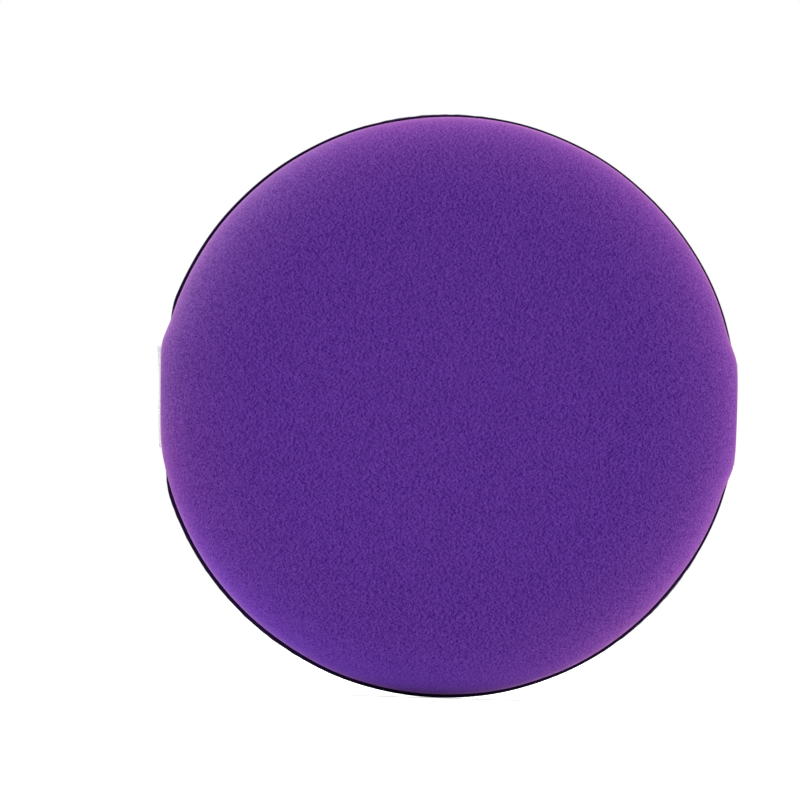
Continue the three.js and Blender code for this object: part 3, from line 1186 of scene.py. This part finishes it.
# %% Ribbon
BODY_HALF_WIDTH = 4.8 * MM
ACROSS_STEPS = 24
FOLD_FROM_RIM = (2.6 * MM, 0.8 * MM)
FOLD_HEIGHT = 1.6 * MM
FOLD_FLARE = 0.34 * MM
FLARE_MIDDLE = 0.45
LEFT_FOLD_OUT = 0.07 * MM
LEFT_CORNER_TUCK = 0.6
EDGE_CURL = 0.06 * MM


def ribbon_places(share_across):
    """Places on the ribbon's middle surface at a share of its half width from -1 to 1, and its facing."""
    along = np.gradient(ribbon_line, axis=0)
    along /= np.hypot(*along.T)[:, None]
    x, y = ribbon_line.T
    fold = step_between(np.abs(x), *(rim_radius - distance for distance in FOLD_FROM_RIM))
    fold = fold * (y < weld_level + FOLD_HEIGHT)
    tucked = (x < 0) & (share_across < 0)
    corner = np.where(tucked, -LEFT_CORNER_TUCK, 1.0) * share_across**2
    flare = FOLD_FLARE * (corner - FLARE_MIDDLE) + LEFT_FOLD_OUT * (x < 0)
    x = x + np.sign(x) * flare * fold
    y = y + EDGE_CURL * np.abs(share_across) ** 3 * (1 - fold)
    z = np.full_like(x, axis_height + share_across * BODY_HALF_WIDTH)
    facing = np.stack([-along[:, 1], along[:, 0], np.zeros_like(x)], axis=-1)
    return np.stack([x, y, z], axis=-1), facing


def woven_ribbon():
    across = np.linspace(-1, 1, ACROSS_STEPS + 1)
    count, width = len(ribbon_line), ACROSS_STEPS + 1
    rows = [ribbon_places(share) for share in across]
    sheets = [
        np.stack([places + facing * side * RIBBON_THICKNESS / 2 for places, facing in rows], axis=1)
        for side in (1, -1)
    ]
    top = np.arange(count * width).reshape(count, width)
    under = top + count * width
    faces = quads(top[:-1, :-1], top[1:, :-1], top[1:, 1:], top[:-1, 1:])
    faces += quads(under[:-1, :-1], under[:-1, 1:], under[1:, 1:], under[1:, :-1])
    for end in (0, -1):
        faces += quads(top[:-1, end], under[:-1, end], under[1:, end], top[1:, end])
        faces += quads(top[end, :-1], top[end, 1:], under[end, 1:], under[end, :-1])
    made = closed_object("ribbon_strap", np.concatenate(sheets).reshape(-1, 3), faces, ribbon_satin)
    uv = made.data.uv_layers.new(name="ribbon")
    lengths = np.tile(np.repeat(run, width), 2)
    widths = np.tile(across * BODY_HALF_WIDTH, 2 * count)
    for loop in made.data.loops:
        uv.data[loop.index].uv = (lengths[loop.vertex_index], widths[loop.vertex_index])
    return made


ribbon = woven_ribbon()
print("ribbon:", len(ribbon.data.vertices), "points")

# %% [markdown]
# Along both edges the ribbon has picots, small loops of the weft thread. They repeat along a path, so
# Geometry Nodes make them: the edge is cut into equal steps, and a small arc of thread is placed on each
# step, standing out of the edge. Loops could be copied by code as well, but a tree keeps their sizes as
# inputs that can be changed later.

# %% Tree of the picots
PICOT_PITCH = 0.8 * MM
PICOT_REACH = 0.7 * MM
PICOT_WIDTH = 0.5 * MM
THREAD_RADIUS = 0.13 * MM
ARC_START = math.radians(-35)
ARC_SWEEP = math.radians(250)
ARC_REACH_SHARE = 0.6


def picot_tree():
    """Loops of thread along a curve, each standing out of it along a given direction."""
    tree, given, made = new_group(
        "picot edge",
        "GeometryNodeTree",
        [
            ("Edge", "Geometry"),
            ("Pitch", "Float", PICOT_PITCH),
            ("Reach", "Float", PICOT_REACH),
            ("Width", "Float", PICOT_WIDTH),
            ("Thread radius", "Float", THREAD_RADIUS),
            ("Outwards", "Vector", (0, 0, 1)),
            ("Thread", "Material", picot_thread),
        ],
        [("Loops", "Geometry")],
    )

    def step(kind, inputs, **settings):
        """The first output of a node."""
        return add_node(tree, kind, inputs, **settings).outputs[0]

    path = step("GeometryNodeMeshToCurve", {"Mesh": given["Edge"]})
    points = step("GeometryNodeResampleCurve", {"Curve": path, "Length": given["Pitch"]}, mode="LENGTH")
    arc = step("GeometryNodeCurveArc", {
        "Resolution": 9, "Radius": 1.0, "Start Angle": ARC_START, "Sweep Angle": ARC_SWEEP,
    })
    size = step("ShaderNodeCombineXYZ", {
        "X": math_node("MULTIPLY", given["Width"], 0.5),
        "Y": math_node("MULTIPLY", given["Reach"], ARC_REACH_SHARE),
        "Z": 1.0,
    })
    shaped = step("GeometryNodeTransform", {"Geometry": arc, "Scale": size})
    section = step("GeometryNodeCurvePrimitiveCircle", {"Resolution": 6, "Radius": given["Thread radius"]})
    loop = step("GeometryNodeCurveToMesh", {"Curve": shaped, "Profile Curve": section, "Fill Caps": True})
    along = step("GeometryNodeInputTangent", {})
    facing = step("FunctionNodeAlignRotationToVector", {"Vector": along}, axis="X")
    standing = step(
        "FunctionNodeAlignRotationToVector",
        {"Rotation": facing, "Vector": given["Outwards"]},
        axis="Y",
        pivot_axis="X",
    )
    loops = step("GeometryNodeInstanceOnPoints", {"Points": points, "Instance": loop, "Rotation": standing})
    loops = step("GeometryNodeRealizeInstances", {"Geometry": loops})
    loops = step("GeometryNodeSetShadeSmooth", {"Geometry": loops})
    loops = step("GeometryNodeSetMaterial", {"Geometry": loops, "Material": given["Thread"]})
    fill(made["Loops"], loops)
    return tree


picots = picot_tree()
print("tree:", picots.name)

# %% [markdown]
# The tree runs on both edges of the ribbon, and each result becomes a plain mesh, which can ride on a joint.
# The loops stop short of the folds.

# %% Picots on both edges
PICOT_LIFT = 0.07 * MM
PICOT_ROOT = 1.01
PICOT_END = 1.1 * MM


def edge_loops(name, side):
    """The picots of one edge of the ribbon, as a plain mesh."""
    places, facing = ribbon_places(side * PICOT_ROOT)
    places = places + facing * PICOT_LIFT
    inside = np.abs(places[:, 0]) < rim_radius - PICOT_END
    shown = places[inside & (places[:, 1] > weld_level + FOLD_RADIUS)]
    mesh = bpy.data.meshes.new(name + "_path")
    mesh.from_pydata([tuple(p) for p in shown], [(i, i + 1) for i in range(len(shown) - 1)], [])
    holder = placed(name + "_path", mesh)
    modifier = holder.modifiers.new("picots", "NODES")
    modifier.node_group = picots
    modifier[picots.interface.items_tree["Outwards"].identifier] = (0, 0, side)
    evaluated = holder.evaluated_get(bpy.context.evaluated_depsgraph_get())
    loops = bpy.data.meshes.new_from_object(evaluated)
    loops.name = name
    bpy.data.objects.remove(holder)
    return placed(name, loops)


upper_picots = edge_loops("picots_upper", 1)
lower_picots = edge_loops("picots_lower", -1)
print("picots:", len(upper_picots.data.polygons) + len(lower_picots.data.polygons), "faces")

# %% [markdown]
# The ribbon and its loops cross the joint that lifts the band. They are kept as plain meshes with their
# transforms baked in, and the strap's solids are hidden.

for piece in (ribbon, upper_picots, lower_picots):
    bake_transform(piece)
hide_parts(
    "strap_left_tab", "strap_left_ramp", "strap_band", "strap_right_ramp", "strap_right_tab",
)

# %% [markdown]
# The stage is a plain white floor. The camera sees it as white, and only its shadow is grey, so the
# puff stands in a white studio without more light on it. The floor adds a little light of its own to
# what the camera sees, and more of it further out, where the lamps don't reach.

# %% Floor and background
WHITE = (1, 1, 1, 1)
FLOOR_WHITE = (0.9, 0.9, 0.9, 1)
FLOOR_HALF = 3.0
FLOOR_GAP = 0.03 * MM
GLOW_FADE = (0.005, 0.05)
GLOW = (0.5, 1.0)
AMBIENT = 0.24


def seen_directly(tree):
    """1 for the rays that show a thing: from the camera, straight or by way of gloss or glass."""
    rays = add_node(tree, "ShaderNodeLightPath").outputs
    seen = math_node("MAXIMUM", rays["Is Camera Ray"], rays["Is Glossy Ray"])
    return math_node("MAXIMUM", seen, rays["Is Transmission Ray"])


def floor_finish():
    material, tree, shader = new_finish(
        "white floor", Base_Color=FLOOR_WHITE, Roughness=1.0, Specular_IOR_Level=0.0, Emission_Color=WHITE,
    )
    away = add_node(tree, "ShaderNodeVectorMath", {0: object_place(tree)}, operation="LENGTH")
    fade = eased(away.outputs["Value"], *GLOW_FADE, *GLOW)
    fill(shader.inputs["Emission Strength"], math_node("MULTIPLY", seen_directly(tree), fade))
    return material


def studio_world():
    """White where it is seen, and a weaker light on the puff."""
    world = bpy.data.worlds.new("studio")
    world.use_nodes = True
    tree = world.node_tree
    soft = tree.nodes["Background"]
    fill(soft.inputs["Color"], WHITE)
    fill(soft.inputs["Strength"], AMBIENT)
    white = add_node(tree, "ShaderNodeBackground", {"Color": WHITE, "Strength": 1.0})
    inputs = {0: seen_directly(tree), 1: soft.outputs[0], 2: white.outputs[0]}
    choose = add_node(tree, "ShaderNodeMixShader", inputs)
    fill(tree.nodes["World Output"].inputs["Surface"], choose.outputs[0])
    return world


floor_corners = [(x * FLOOR_HALF, y * FLOOR_HALF, 0) for x, y in ((-1, -1), (1, -1), (1, 1), (-1, 1))]
floor = mesh_object("floor", floor_corners, [(0, 1, 2, 3)], floor_finish())
floor.location.z = axis_height - rim_radius - FLOOR_GAP
bpy.context.scene.world = studio_world()
print(f"floor at {floor.location.z / MM:.2f} mm")

# %% [markdown]
# Five soft lamps make a plain studio: a weak one in front, one at each side, one above and one behind. Those
# at the sides and above stand far round, so that they rake the roll of the foam, and its fuzz glows there.
# Little light comes from below.

# %% Lamps
LAMPS = [
    ("key", (-0.10, -0.46, 0.14), 0.34, 0.3),
    ("left", (-0.38, -0.03, 0.31), 0.30, 1.25),
    ("right", (0.43, -0.06, 0.06), 0.30, 1.5),
    ("top", (-0.05, -0.03, 0.46), 0.30, 1.6),
    ("behind", (-0.06, 0.40, 0.24), 0.34, 0.75),
]

for name, offset, size, watts in LAMPS:
    data = bpy.data.lights.new(name, "AREA")
    data.shape = "DISK"
    data.size = size
    data.energy = watts
    lamp = placed(name, data)
    lamp.location = disc_centre + Vector(offset)
    lamp.rotation_euler = (lamp.location - disc_centre).to_track_quat("Z", "Y").to_euler()
bpy.context.scene.view_settings.view_transform = "Standard"
print("lamps:", [lamp[0] for lamp in LAMPS])
